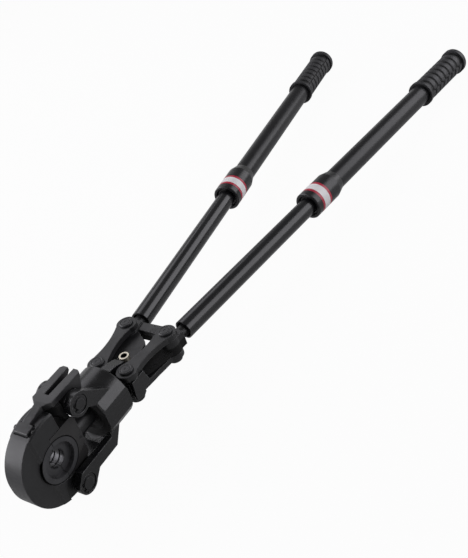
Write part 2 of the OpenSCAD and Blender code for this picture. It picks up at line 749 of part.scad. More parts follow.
// A plate beside each lug covers the front eye of the lower link
module skirt() difference() {
    side(lug_x - over, skirt_x) translate([front_pin_y, 0]) polygon(skirt_points);
    block(0, skirt_in_x, 0, 2 * lug_y1, -2 * link_z1, -lug_h);
    block(0, skirt_x + over, front_pin_y + skirt_step, 2 * lug_y1, -2 * link_z1, -lug_h);
}
module crosshead_channel(h) block(-head_w - pass, head_w + pass, head_y0 - 2 * pass, 2 * lug_y1, -h, h);
module rear_body() color(forged) difference() {
    union() {
        rod_y(spigot_r, spigot_y0, body_y0 + over);
        rod_y(flange_r, body_y0, lug_root_y);
        difference() {
            plan(-lug_h, lug_h) lug_plan();
            crosshead_channel(2 * lug_h);
        }
        both_sides() skirt();
        side(-spine_w / 2, spine_w / 2) {
            spine_side();
            mirror([0, 1]) spine_side();
        }
    }
    rod_y(ram_r + fit, 0, head_y0 - pass);
    crosshead_channel(head_h + pass);
    for (s = [-1, 1]) rod_z(front_pin_r + pin_play, -2 * lug_h, 2 * lug_h, s * front_pin_x, front_pin_y);
    sleeve_y(spigot_r - ring_in - fit, 2 * spigot_r, ring_y - ring_t / 2 - fit, ring_y + ring_t / 2 + fit);
}
module swivel_ring() color(steel)
    sleeve_y(spigot_r - ring_in, spigot_r + ring_out, ring_y - ring_t / 2, ring_y + ring_t / 2);

// The links and their pins, drawn for the right side and mirrored for the left
module on_side(s) mirror([s > 0 ? 0 : 1, 0, 0]) children();
module link_plan(front_eye_r, shoulder) difference() {
    translate([rear_pin_x, rear_pin_y]) rotate(180 - link_lean) {
        circle(link_eye_r);
        translate([0, link_len]) circle(front_eye_r);
        difference() {
            translate([-shoulder, link_trim]) square([2 * shoulder, link_len - 2 * link_trim]);
            for (s = [-1, 1]) translate([s * (link_waist / 2 + link_scoop_r), link_len / 2])
                circle(link_scoop_r);
        }
    }
    translate([rear_pin_x, rear_pin_y]) circle(rear_pin_r + fit);
    translate([front_pin_x, front_pin_y]) circle(front_pin_r + fit);
}
module upper_link(s) color(phosphate) on_side(s) plan(link_z0, link_z1) link_plan(link_eye_r, link_shoulder);
module lower_link(s) color(phosphate) on_side(s)
    plan(-link_z1, -link_z0) link_plan(lower_eye_r, lower_shoulder);
module link_pin(r, x, y) {
    rod_z(r, -link_z1 - nut_t, link_z1 + pin_head_t / 2, x, y);
    translate([x, y, link_z1 + fit]) rotate_extrude() polygon([[0, 0], [pin_head_r, 0],
        [pin_head_r, pin_head_t - pin_head_edge], [pin_head_r - pin_head_edge, pin_head_t], [0, pin_head_t]]);
}
module front_pin(s) color(phosphate) on_side(s) link_pin(front_pin_r, front_pin_x, front_pin_y);
module rear_pin(s) color(phosphate) on_side(s) link_pin(rear_pin_r, rear_pin_x, rear_pin_y);
module pin_nut(r, x, y) difference() {
    rod_z(nut_r, -link_z1 - nut_room - nut_t, -link_z1 - nut_room, x, y);
    rod_z(r + fit, -link_z1 - 2 * nut_t, 0, x, y);
}
module pin_nuts(s) color(phosphate) on_side(s) {
    pin_nut(front_pin_r, front_pin_x, front_pin_y);
    pin_nut(rear_pin_r, rear_pin_x, rear_pin_y);
}

// The brackets: eye, stub and plug for the tube, stop tooth, and the nose that meets the crosshead
module along_handle() translate([rear_pin_x, rear_pin_y, 0]) rotate([0, 0, -handle_angle]) children();
module nose_plan() {
    translate([0, pivot_y]) circle(nose_eye_r);
    translate([rear_pin_x, rear_pin_y]) circle(nose_rear_r);
    polygon([[-plate_root_x, pivot_y], [plate_root_x, plate_front_y], [plate_corner_x, plate_corner_y],
        [plate_side_x, pivot_y + plate_side_dy], [rear_pin_x + plate_eye_x, rear_pin_y - plate_eye_dy],
        [rear_pin_x, rear_pin_y], [rear_pin_x - plate_eye_x, rear_pin_y + plate_eye_dy],
        [-plate_back_x, pivot_y + plate_back_dy], [-plate_tip_x, pivot_y + plate_tip_dy],
        [-plate_in_x, pivot_y + plate_in_dy]]);
}
module bracket(s) color(forged) difference() {
    union() {
        on_side(s) {
            rod_z(link_eye_r, -lug_h, lug_h, rear_pin_x, rear_pin_y);
            along_handle() {
                block(-bracket_half_w, bracket_half_w, 0, bracket_len, -bracket_h, bracket_h);
                rod_y(stub_r, bracket_len - over, tube_start + mouth_depth + over);
                rod_y(plug_r, tube_start + mouth_depth, tube_start + plug_len);
            }
            block(tooth_gap / 2, rear_pin_x, tooth_y0, tooth_y0 + tooth_len, -tooth_h, tooth_h);
        }
        on_side(s) plan(s > 0 ? -nose_z1 : nose_z0, s > 0 ? -nose_z0 : nose_z1) nose_plan();
    }
    on_side(s) rod_z(rear_pin_r + fit, -2 * lug_h, 2 * lug_h, rear_pin_x, rear_pin_y);
    rod_z(pivot_r + fit, -2 * lug_h, 2 * lug_h, 0, pivot_y);
}

// The telescopic handles
module in_handle(s) on_side(s) along_handle() children();
module inner_tube(s) color(gloss) in_handle(s)
    sleeve_y(inner_tube_r - tube_wall, inner_tube_r, tube_start, inner_s1);
module tube_bush(s) color(rubber) in_handle(s)
    sleeve_y(inner_tube_r + fit, outer_bore_r - fit, bush_s0, bush_s0 + bush_len);
module outer_tube(s) color(gloss) in_handle(s) sleeve_y(outer_bore_r, outer_tube_r, outer_s0, outer_s1);
module collet(s) color(rubber) in_handle(s) sleeve_y(inner_tube_r + fit, outer_tube_r, collet_s0, collet_s1);
module collar_profile() polygon([
    [inner_tube_r + collar_mouth, collar_s0], [collar_r - collar_edge, collar_s0],
    [collar_r, collar_s0 + collar_edge], [collar_r, band_s0], [collar_r - band_t, band_s0],
    [collar_r - band_t, band_s0 + band_len],
    [collar_r, band_s0 + band_len], [collar_r, collar_s1 - collar_cone_len], [collar_cone_r, collar_s1],
    [outer_tube_r + collar_room, collar_s1], [outer_tube_r + collar_room, collar_s0 + collar_lip],
    [inner_tube_r + collar_lip_clear, collar_s0 + collar_lip]]);
module collar(s) color(gloss) in_handle(s) turned_y() collar_profile();
module band(s) color(white) in_handle(s)
    sleeve_y(collar_r - band_t + fit, collar_r + fit, band_s0 + fit, band_s0 + band_len - fit);
module grip_core() polygon([[outer_tube_r + fit, grip_s0], [grip_flange_r, grip_s0], [grip_flange_r, rib_s0],
    [rib_floor_r, rib_s0], [rib_floor_r, grip_s1 - grip_cap_len], [grip_cap_r, grip_s1 - grip_cap_len],
    [grip_cap_r, grip_s1 - grip_cap_edge], [grip_cap_r - grip_cap_edge, grip_s1], [0, grip_s1],
    [0, outer_s1 + fit], [outer_tube_r + fit, outer_s1 + fit]]);
// Half a rib; the two halves of the grip have theirs half a step apart
module rib_half(place) translate([0, rib_s0 + place * rib_pitch, 0]) rotate([-90, 0, 0])
    rotate([0, 0, rib_gap_angle / 2]) rotate_extrude(angle = 180 - rib_gap_angle) polygon([[rib_root_r, 0],
        [rib_floor_r, 0], [grip_r, rib_flank_share * rib_pitch],
        [grip_r, (rib_flank_share + rib_top_share) * rib_pitch],
        [rib_floor_r, (2 * rib_flank_share + rib_top_share) * rib_pitch],
        [rib_root_r, (2 * rib_flank_share + rib_top_share) * rib_pitch]]);
module grip(s) color(rubber) in_handle(s) {
    turned_y() grip_core();
    rotate([0, s > 0 ? right_grip_turn : left_grip_turn, 0]) {
        for (i = [0 : rib_count - 1]) rib_half(i + rib_side_share);
        rotate([0, 180, 0]) for (i = [0 : rib_count - 2]) rib_half(i + rib_shift_share);
    }
}
module end_plug(s) color(gloss) in_handle(s) rod_y(outer_bore_r - fit, outer_s1 - plug_depth, outer_s1);

module left_bracket() bracket(-1);
module left_inner_tube() inner_tube(-1);
module left_tube_bush() tube_bush(-1);
module left_upper_link() upper_link(-1);
module left_lower_link() lower_link(-1);
module left_front_pin() front_pin(-1);
module left_rear_pin() rear_pin(-1);
module left_pin_nuts() pin_nuts(-1);
module left_outer_tube() outer_tube(-1);
module left_collet() collet(-1);
module left_grip() grip(-1);
module left_end_plug() end_plug(-1);
module left_collar() collar(-1);
module left_band() band(-1);
module right_bracket() bracket(1);
module right_inner_tube() inner_tube(1);
module right_tube_bush() tube_bush(1);
module right_upper_link() upper_link(1);
module right_lower_link() lower_link(1);
module right_front_pin() front_pin(1);
module right_rear_pin() rear_pin(1);
module right_pin_nuts() pin_nuts(1);
module right_outer_tube() outer_tube(1);
module right_collet() collet(1);
module right_grip() grip(1);
module right_end_plug() end_plug(1);
module right_collar() collar(1);
module right_band() band(1);

yoke();
ram_bush();
wiper_ring();
jaw_pin();
jaw_pin_clips();
latch_keeper();
keeper_pin();
keeper_pin_clips();
jaw();
front_die();
front_die_plunger();
latch_pin();
latch();
ram_rod();
die_carrier();
carrier_pin();
rear_die();
rear_die_plunger();
rear_body();
swivel_ring();
crosshead();
ram_pins();
pivot_screw();
pivot_nut();
left_bracket();
left_inner_tube();
left_tube_bush();
left_upper_link();
left_lower_link();
left_front_pin();
left_rear_pin();
left_pin_nuts();
left_outer_tube();
left_collet();
left_grip();
left_end_plug();
left_collar();
left_band();
right_bracket();
right_inner_tube();
right_tube_bush();
right_upper_link();
right_lower_link();
right_front_pin();
right_rear_pin();
right_pin_nuts();
right_outer_tube();
right_collet();
right_grip();
right_end_plug();
right_collar();
right_band();
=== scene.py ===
"""Looks of the hand press tool: materials, light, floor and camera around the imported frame."""
import math

import bmesh
import bpy
from mathutils import Matrix, Vector


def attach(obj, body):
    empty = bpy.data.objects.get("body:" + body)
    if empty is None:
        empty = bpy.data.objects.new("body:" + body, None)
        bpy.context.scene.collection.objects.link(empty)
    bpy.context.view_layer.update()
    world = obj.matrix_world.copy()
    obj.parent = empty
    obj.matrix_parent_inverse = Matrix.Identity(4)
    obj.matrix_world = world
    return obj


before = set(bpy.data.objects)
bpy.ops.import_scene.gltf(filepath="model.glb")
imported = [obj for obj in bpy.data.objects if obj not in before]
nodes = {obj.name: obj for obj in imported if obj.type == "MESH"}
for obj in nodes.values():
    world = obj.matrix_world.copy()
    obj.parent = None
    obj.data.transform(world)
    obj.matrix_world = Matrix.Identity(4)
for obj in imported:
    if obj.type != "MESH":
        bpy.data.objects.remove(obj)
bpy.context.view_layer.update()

MM = 0.001
SIDES = {"right": 1, "left": -1}
ORIGIN = (0, 0, 0)
X_AXIS = (1, 0, 0)
Y_AXIS = (0, 1, 0)
Z_AXIS = (0, 0, 1)

# Places taken from the part's own sizes, in metres
HANDLE_TILT = math.radians(7.28)
FRONT_PIN = Vector((17.4 * MM, 96.2 * MM, 0))
REAR_PIN = Vector((24.1 * MM, 151 * MM, 0))
BAND_START = 247.7 * MM
BAND_LENGTH = 17 * MM
BORDER_LENGTH = 3.4 * MM
BORE_RADIUS = 8.3 * MM
DIE_RADIUS = 21.3 * MM
PIVOT = (0, 114 * MM, 0)
SOCKET_RADIUS = 3.1 * MM
GROOVE_RADIUS = 14.2 * MM
RIB_RADIUS = 15.2 * MM
CARRIER_TOP = 25.5 * MM

# Where a look fades into the next one: its first place and its last
# Spans over which painted shade fades in
PAINTED_SHADE_FADE = 0.2 * MM
CARRIER_PAINTED_SHADE = (CARRIER_TOP - 2 * PAINTED_SHADE_FADE, CARRIER_TOP - PAINTED_SHADE_FADE)
LINK_PAINTED_SHADE = (2.5 * MM, 0.5 * MM)
BORE_PAINTED_SHADE = (27 * MM, 24 * MM)
GROUND_FADE = (BORE_RADIUS + 0.4 * MM, BORE_RADIUS + 1.2 * MM)
RIM_FADE = (DIE_RADIUS - 1.2 * MM, DIE_RADIUS - 0.6 * MM)
SOCKET_FADE = (SOCKET_RADIUS, SOCKET_RADIUS + 0.4 * MM)
PIN_RING = 4.6 * MM
PIN_RING_FADE = (0.2 * MM, 0.7 * MM)
PIN_MARK_FADE = (0.6 * MM, 1.6 * MM)
CREST_FADE = (GROOVE_RADIUS, RIB_RADIUS)
BORDER_FADE = 0.01

# Values that the materials share
NOISE_MIDDLE = (0.3, 0.7)
NOISE_ROUGH = 0.55
BEVEL_SAMPLES = 4
SHARP_TO_FLAT = (0.75, 0.99)
METAL_EDGE = 1.1 * MM
GRAIN_DEPTH = 0.06 * MM
CLOUD_DEPTH = 4 * GRAIN_DEPTH
# Painted shade: the dull black tone and roughness put where shade falls
PAINTED_SHADE_TONE = (0.0005, 0.0005, 0.0005)
PAINTED_SHADE_ROUGH = 0.95


def node_tree(name):
    """A new material with an empty tree, its output and its shader."""
    mat = bpy.data.materials.new(name)
    mat.use_nodes = True
    tree = mat.node_tree
    tree.nodes.clear()
    out = tree.nodes.new("ShaderNodeOutputMaterial")
    shader = tree.nodes.new("ShaderNodeBsdfPrincipled")
    tree.links.new(shader.outputs["BSDF"], out.inputs["Surface"])
    return mat, tree, shader


def feed(tree, socket, value):
    """Links an output to a socket, or sets a constant on it."""
    if isinstance(value, bpy.types.NodeSocket):
        tree.links.new(value, socket)
    else:
        socket.default_value = value


def surface(tree, shader, colour, rough, normal, specular=0.5, metallic=0.0):
    """Feeds the sockets of a material's shader."""
    feed(tree, shader.inputs["Base Color"], colour)
    feed(tree, shader.inputs["Roughness"], rough)
    feed(tree, shader.inputs["Normal"], normal)
    feed(tree, shader.inputs["Specular IOR Level"], specular)
    feed(tree, shader.inputs["Metallic"], metallic)


def object_coords(tree):
    """Places in a piece's own frame, so that a look stays on its piece."""
    return tree.nodes.new("ShaderNodeTexCoord").outputs["Object"]


def noise(tree, coords, scale, detail, roughness=NOISE_ROUGH):
    """A cloudy texture, mostly between the two values of NOISE_MIDDLE."""
    n = tree.nodes.new("ShaderNodeTexNoise")
    n.inputs["Scale"].default_value = scale
    n.inputs["Detail"].default_value = detail
    n.inputs["Roughness"].default_value = roughness
    tree.links.new(coords, n.inputs["Vector"])
    return n.outputs["Fac"]


def spread(tree, value, low=0, high=1, span=NOISE_MIDDLE):
    """Maps a span of a value onto low to high and holds it there outside the span."""
    m = tree.nodes.new("ShaderNodeMapRange")
    m.inputs["From Min"].default_value = span[0]
    m.inputs["From Max"].default_value = span[1]
    m.inputs["To Min"].default_value = low
    m.inputs["To Max"].default_value = high
    tree.links.new(value, m.inputs["Value"])
    return m.outputs["Result"]


def reckon(tree, operation, *values):
    """The result of one operation on outputs or constants."""
    m = tree.nodes.new("ShaderNodeMath")
    m.operation = operation
    for socket, value in zip(m.inputs, values):
        feed(tree, socket, value)
    return m.outputs["Value"]


def reckon_vectors(tree, operation, result, *values):
    """The named result of one operation on vectors, each an output or a constant."""
    m = tree.nodes.new("ShaderNodeVectorMath")
    m.operation = operation
    for socket, value in zip(m.inputs, values):
        feed(tree, socket, value)
    return m.outputs[result]


def blend_colour(tree, factor, first, second):
    """The first colour where the factor is 0 and the second where it is 1."""
    m = tree.nodes.new("ShaderNodeMix")
    m.data_type = "RGBA"
    for name, value in (("A", first), ("B", second)):
        socket = [i for i in m.inputs if i.name == name and i.type == "RGBA"][0]
        feed(tree, socket, (*value, 1) if isinstance(value, tuple) else value)
    tree.links.new(factor, m.inputs["Factor"])
    return [o for o in m.outputs if o.type == "RGBA"][0]


def shade(colour, share):
    """A colour times a share."""
    return tuple(share * c for c in colour)


def rounded(tree, radius):
    """The normal of a surface whose edges are rounded to a radius."""
    bevel = tree.nodes.new("ShaderNodeBevel")
    bevel.samples = BEVEL_SAMPLES
    bevel.inputs["Radius"].default_value = radius
    return bevel.outputs["Normal"]


def edge_mask(tree, radius):
    """About 0 on flat ground and 1 along sharp outer edges."""
    flat = tree.nodes.new("ShaderNodeNewGeometry").outputs["Normal"]
    likeness = reckon_vectors(tree, "DOT_PRODUCT", "Value", rounded(tree, radius), flat)
    return spread(tree, likeness, low=1, high=0, span=SHARP_TO_FLAT)


def relief(tree, height, strength, depth, below=None):
    """The normal of a surface raised by a height texture, over the normal below it."""
    b = tree.nodes.new("ShaderNodeBump")
    b.inputs["Strength"].default_value = strength
    b.inputs["Distance"].default_value = depth
    tree.links.new(height, b.inputs["Height"])
    if below is not None:
        tree.links.new(below, b.inputs["Normal"])
    return b.outputs["Normal"]


def axis_distance(tree, coords, point, direction):
    """Distance of each place from a line."""
    away = reckon_vectors(tree, "SUBTRACT", "Vector", coords, point)
    across = reckon_vectors(tree, "CROSS_PRODUCT", "Vector", away, direction)
    return reckon_vectors(tree, "LENGTH", "Value", across)


def handle_axis(sign):
    """A point on a handle's axis and the axis's direction."""
    along = Vector((sign * math.sin(HANDLE_TILT), math.cos(HANDLE_TILT), 0))
    return Vector((sign * REAR_PIN.x, REAR_PIN.y, 0)), along


def height_painted_shade(span):
    """A mask for painted shade: 0 at the first height of the span and 1 at the last."""
    def mask(tree, coords):
        parts = tree.nodes.new("ShaderNodeSeparateXYZ")
        tree.links.new(coords, parts.inputs["Vector"])
        return spread(tree, parts.outputs["Z"], span=span)
    return mask


def bore_painted_shade(span):
    """A mask for painted shade: 0 at the first distance from the Y axis in the span and 1 at the last."""
    def mask(tree, coords):
        return spread(tree, axis_distance(tree, coords, ORIGIN, Y_AXIS), span=span)
    return mask


def dark_metal(name, dark, light, wear_and_highlight, rough, specular, painted_shade=None):
    """Blackened steel with a cloudy tone, a fine grain and edges lighter, partly from rubbed wear and
    partly a painted highlight.

    Where a painted shade mask is given, its places are painted dull and black as shade.
    """
    mat, tree, shader = node_tree(name)
    coords = object_coords(tree)
    cloud = noise(tree, coords, scale=45, detail=6, roughness=0.6)
    grain = noise(tree, coords, scale=1400, detail=3, roughness=0.6)
    base = blend_colour(tree, spread(tree, cloud), dark, light)
    patches = spread(tree, noise(tree, coords, scale=220, detail=5))
    # Lighter edges: partly rubbed wear, partly a painted highlight
    wear_and_highlight_places = reckon(tree, "MULTIPLY", edge_mask(tree, METAL_EDGE), patches)
    colour = blend_colour(tree, wear_and_highlight_places, base, wear_and_highlight)
    gloss = spread(tree, noise(tree, coords, scale=90, detail=5), *rough)
    # Painted shade: the masked places turn dull and black
    if painted_shade:
        shaded = painted_shade(tree, coords)
        colour = blend_colour(tree, shaded, colour, PAINTED_SHADE_TONE)
        gloss = reckon(tree, "MAXIMUM", gloss, reckon(tree, "MULTIPLY", shaded, PAINTED_SHADE_ROUGH))
    normal = relief(tree, grain, strength=0.35, depth=GRAIN_DEPTH, below=rounded(tree, METAL_EDGE))
    normal = relief(tree, cloud, strength=0.15, depth=CLOUD_DEPTH, below=normal)
    surface(tree, shader, colour, gloss, normal, specular)
    return mat


def die_steel(name, body, gap_shade, bore, rough):
    """Dark tool steel with its groove round the X axis ground bright, and painted shade, dull there, along
    its edges and outer rim for the shade in the gaps round it.
    """
    mat, tree, shader = node_tree(name)
    coords = object_coords(tree)
    cloud = noise(tree, coords, scale=70, detail=6, roughness=0.6)
    grain = noise(tree, coords, scale=1600, detail=3, roughness=0.6)
    reach = axis_distance(tree, coords, ORIGIN, X_AXIS)
    ground = spread(tree, reach, low=1, high=0, span=GROUND_FADE)
    mottled = blend_colour(tree, spread(tree, cloud), body, shade(body, share=1.6))
    # Painted shade along the edges and at the outer rim, for the shade in the gaps round the die
    edge_gap_shaded = blend_colour(tree, edge_mask(tree, radius=0.5 * MM), mottled, gap_shade)
    rim_gap_shaded = blend_colour(tree, spread(tree, reach, span=RIM_FADE), edge_gap_shaded, gap_shade)
    colour = blend_colour(tree, ground, rim_gap_shaded, bore)
    specular = spread(tree, reach, low=0.4, high=0.02, span=RIM_FADE)
    normal = relief(tree, grain, strength=0.3, depth=0.03 * MM, below=rounded(tree, radius=0.4 * MM))
    surface(tree, shader, colour, spread(tree, cloud, *rough), normal, specular, metallic=ground)
    return mat


def bright_steel(name, axis, tone, rough):
    """Turned metal with fine rings across the given axis."""
    mat, tree, shader = node_tree(name)
    coords = object_coords(tree)
    wave = tree.nodes.new("ShaderNodeTexWave")
    wave.bands_direction = axis
    wave.inputs["Scale"].default_value = 900
    wave.inputs["Distortion"].default_value = 2.5
    wave.inputs["Detail"].default_value = 3
    tree.links.new(coords, wave.inputs["Vector"])
    smear = noise(tree, coords, scale=60, detail=5)
    colour = blend_colour(tree, spread(tree, smear), shade(tone, share=0.8), tone)
    rings = wave.outputs["Fac"]
    normal = relief(tree, rings, strength=0.12, depth=0.04 * MM, below=rounded(tree, radius=0.4 * MM))
    surface(tree, shader, colour, spread(tree, smear, *rough), normal, metallic=1.0)
    return mat


def screw_steel(name, ring, socket, rough):
    """Plated screw head: a bright ring round a socket darkened with painted shade."""
    mat, tree, shader = node_tree(name)
    coords = object_coords(tree)
    reach = axis_distance(tree, coords, PIVOT, Z_AXIS)
    smear = noise(tree, coords, scale=300, detail=5)
    grain = noise(tree, coords, scale=1500, detail=2)
    plated = blend_colour(tree, spread(tree, smear), shade(ring, share=0.75), ring)
    # Painted shade in the socket
    colour = blend_colour(tree, spread(tree, reach, span=SOCKET_FADE), socket, plated)
    normal = relief(tree, grain, strength=0.1, depth=0.02 * MM, below=rounded(tree, radius=0.5 * MM))
    surface(tree, shader, colour, spread(tree, smear, *rough), normal, metallic=0.85)
    return mat


def pin_steel(name, place, dark, light, rough):
    """Blackened pin whose head has a pressed ring and a centre mark; the ring is darkened with painted
    shade.
    """
    mat, tree, shader = node_tree(name)
    coords = object_coords(tree)
    reach = axis_distance(tree, coords, place, Z_AXIS)
    from_ring = reckon(tree, "ABSOLUTE", reckon(tree, "SUBTRACT", reach, PIN_RING))
    groove = spread(tree, from_ring, span=PIN_RING_FADE)
    mark = spread(tree, reach, span=PIN_MARK_FADE)
    cloud = noise(tree, coords, scale=160, detail=6, roughness=0.6)
    base = blend_colour(tree, spread(tree, cloud), dark, light)
    # Painted shade in the pressed ring
    colour = blend_colour(tree, groove, shade(dark, share=0.4), base)
    normal = relief(tree, groove, strength=0.8, depth=0.5 * MM, below=rounded(tree, radius=0.7 * MM))
    normal = relief(tree, mark, strength=0.7, depth=0.5 * MM, below=normal)
    normal = relief(tree, cloud, strength=0.2, depth=0.1 * MM, below=normal)
    surface(tree, shader, colour, spread(tree, cloud, *rough), normal, specular=0.35)
    return mat


def coated(name, dark, light, rough, peel_scale, peel_depth, specular=0.5, edge=None):
    """Painted or moulded surface with a faint orange peel and dust-like tone."""
    mat, tree, shader = node_tree(name)
    coords = object_coords(tree)
    cloud = noise(tree, coords, scale=30, detail=5)
    colour = blend_colour(tree, spread(tree, cloud), dark, light)
    gloss = spread(tree, noise(tree, coords, scale=120, detail=5), *rough)
    peel = noise(tree, coords, peel_scale, detail=2)
    normal = relief(tree, peel, strength=0.2, depth=peel_depth, below=rounded(tree, edge) if edge else None)
    surface(tree, shader, colour, gloss, normal, specular)
    return mat


def rubber(name, dark, light, rough, edge, sign=0):
    """Matte moulded rubber with a fine pebble and a dusty bloom.

    On a grip, whose sign says its side, the grooves between the ribs are darkened with painted shade.
    """
    mat, tree, shader = node_tree(name)
    coords = object_coords(tree)
    bloom = noise(tree, coords, scale=35, detail=6, roughness=0.6)
    pebble = tree.nodes.new("ShaderNodeTexVoronoi")
    pebble.inputs["Scale"].default_value = 1600
    tree.links.new(coords, pebble.inputs["Vector"])
    colour = blend_colour(tree, spread(tree, bloom), dark, light)
    if sign:
        crest = spread(tree, axis_distance(tree, coords, *handle_axis(sign)), span=CREST_FADE)
        # Painted shade in the grooves between the ribs
        colour = blend_colour(tree, crest, shade(dark, share=0.25), colour)
    pebbled = pebble.outputs["Distance"]
    normal = relief(tree, pebbled, strength=0.25, depth=0.08 * MM, below=rounded(tree, edge))
    normal = relief(tree, bloom, strength=0.1, depth=0.2 * MM, below=normal)
    surface(tree, shader, colour, spread(tree, bloom, *rough), normal, specular=0.35)
    return mat


def label(name, sign):
    """White film with a red border at each end, drawn along its handle's axis."""
    mat, tree, shader = node_tree(name)
    coords = object_coords(tree)
    pin, along = handle_axis(sign)
    start = along.dot(pin) + BAND_START
    reach = reckon_vectors(tree, "DOT_PRODUCT", "Value", coords, along)
    place = spread(tree, reach, low=-1, high=1, span=(start, start + BAND_LENGTH))
    from_middle = reckon(tree, "ABSOLUTE", place)
    inner = 1 - 2 * BORDER_LENGTH / BAND_LENGTH
    border = spread(tree, from_middle, span=(inner - BORDER_FADE, inner + BORDER_FADE))
    mottle = spread(tree, noise(tree, coords, scale=60, detail=4))
    white = blend_colour(tree, mottle, (0.68, 0.67, 0.67), (0.76, 0.75, 0.75))
    red = blend_colour(tree, mottle, (0.36, 0.012, 0.035), (0.44, 0.016, 0.045))
    colour = blend_colour(tree, border, white, red)
    gloss = spread(tree, noise(tree, coords, scale=150, detail=3), low=0.28, high=0.42)
    normal = relief(tree, noise(tree, coords, scale=300, detail=2), strength=0.08, depth=0.05 * MM)
    surface(tree, shader, colour, gloss, normal)
    return mat


# Materials
FORGED_LOOK = {
    "dark": (0.005, 0.005, 0.0055),
    "light": (0.009, 0.009, 0.010),
    "wear_and_highlight": (0.17, 0.17, 0.175),
    "rough": (0.20, 0.30),
    "specular": 0.5,
}
FORGED = dark_metal("forged_black", **FORGED_LOOK)
# Inside the neck's mouth the yoke is painted dull black as shade
YOKE = dark_metal("yoke_black", **FORGED_LOOK, painted_shade=bore_painted_shade(BORE_PAINTED_SHADE))
PHOSPHATE = dark_metal("phosphated_steel", dark=(0.008, 0.008, 0.0085), light=(0.015, 0.015, 0.016),
                       wear_and_highlight=(0.12, 0.12, 0.124), rough=(0.34, 0.46), specular=0.42)
# The carrier's top face, under the latch, is painted dull black as shade
CARRIER = dark_metal("carrier_steel", dark=(0.022, 0.021, 0.021), light=(0.032, 0.031, 0.031),
                     wear_and_highlight=(0.12, 0.12, 0.124), rough=(0.34, 0.46), specular=0.36,
                     painted_shade=height_painted_shade(CARRIER_PAINTED_SHADE))
LATCH = dark_metal("latch_steel", dark=(0.012, 0.012, 0.0125), light=(0.020, 0.020, 0.021),
                   wear_and_highlight=(0.17, 0.17, 0.175), rough=(0.26, 0.40), specular=0.5)
# Dull black for the pieces that stand in for shade
PAINTED_SHADE_METAL = dark_metal("shaded_black", dark=(0.002, 0.002, 0.002), light=(0.005, 0.005, 0.005),
                     wear_and_highlight=(0.03, 0.03, 0.03), rough=(0.60, 0.80), specular=0.15)
# The bracket below the links is painted dull black as the shade that the upper link casts
BRACKET = dark_metal("bracket_black", dark=(0.006, 0.006, 0.0065), light=(0.011, 0.011, 0.012),
                     wear_and_highlight=(0.13, 0.13, 0.134), rough=(0.34, 0.46), specular=0.42,
                     painted_shade=height_painted_shade(LINK_PAINTED_SHADE))
DIE = die_steel("die_steel", body=(0.030, 0.030, 0.032), gap_shade=(0.001, 0.001, 0.001),
                bore=(0.06, 0.06, 0.062), rough=(0.28, 0.42))
RAM = bright_steel("ram_steel", "Y", tone=(0.62, 0.62, 0.63), rough=(0.22, 0.36))
PIN = bright_steel("pin_steel", "Z", tone=(0.30, 0.30, 0.31), rough=(0.30, 0.45))
BRONZE = bright_steel("bush_bronze", "Y", tone=(0.55, 0.40, 0.18), rough=(0.3, 0.45))
SCREW = screw_steel("screw_plate", ring=(0.62, 0.58, 0.48), socket=(0.012, 0.012, 0.012),
                    rough=(0.28, 0.42))
TUBE_LOOK = {
    "dark": (0.006, 0.006, 0.007),
    "light": (0.010, 0.010, 0.011),
    "peel_scale": 160,
    "peel_depth": 0.004 * MM,
}
TUBE = coated("tube_black", **TUBE_LOOK, rough=(0.19, 0.24))
SATIN = coated("tube_satin", **TUBE_LOOK, rough=(0.27, 0.32), specular=0.35)
PLASTIC = coated("collar_plastic", dark=(0.007, 0.007, 0.008), light=(0.011, 0.011, 0.012),
                 rough=(0.24, 0.34), peel_scale=900, peel_depth=0.04 * MM, specular=0.45, edge=0.6 * MM)
SEAL = rubber("seal_rubber", dark=(0.012, 0.012, 0.012), light=(0.018, 0.018, 0.018),
              rough=(0.55, 0.7), edge=0.5 * MM)
GRIP_LOOK = {
    "dark": (0.018, 0.018, 0.019),
    "light": (0.030, 0.030, 0.033),
    "rough": (0.38, 0.52),
    "edge": 1.5 * MM,
}
LINK_PIN_LOOK = {
    "dark": (0.012, 0.012, 0.013),
    "light": (0.020, 0.020, 0.022),
    "rough": (0.30, 0.42),
}

# Which nodes wear them
MATERIALS = {
    YOKE: ["yoke"],
    FORGED: ["rear_body"],
    LATCH: ["latch"],
    CARRIER: ["die_carrier"],
    PHOSPHATE: ["jaw", "latch_keeper", "crosshead", "jaw_pin_clips", "keeper_pin_clips",
                "jaw_pin", "keeper_pin", "latch_pin", "carrier_pin", "ram_rod"],
    DIE: ["front_die", "rear_die"],
    RAM: ["swivel_ring", "front_die_plunger", "rear_die_plunger"],
    PIN: ["pivot_nut", "ram_pins"],
    SCREW: ["pivot_screw"],
    BRONZE: ["ram_bush"],
    SEAL: ["wiper_ring"],
}
SIDE_MATERIALS = {
    BRACKET: ["bracket"],
    PHOSPHATE: ["upper_link", "lower_link", "pin_nuts"],
    TUBE: ["inner_tube"],
    SATIN: ["outer_tube"],
    PLASTIC: ["collar", "collet", "tube_bush", "end_plug"],
}
LINK_PINS = {"front_pin": FRONT_PIN, "rear_pin": REAR_PIN}


def dress(name, mat):
    """Gives a node one material."""
    mesh = nodes[name].data
    mesh.materials.clear()
    mesh.materials.append(mat)


for mat, names in MATERIALS.items():
    for name in names:
        dress(name, mat)
for side, sign in SIDES.items():
    for mat, names in SIDE_MATERIALS.items():
        for name in names:
            dress(side + "_" + name, mat)
    dress(side + "_band", label(side + "_label", sign))
    dress(side + "_grip", rubber(side + "_grip_rubber", **GRIP_LOOK, sign=sign))
    for pin_name, pin in LINK_PINS.items():
        name = side + "_" + pin_name
        dress(name, pin_steel(name + "_black", (sign * pin.x, pin.y, 0), **LINK_PIN_LOOK))


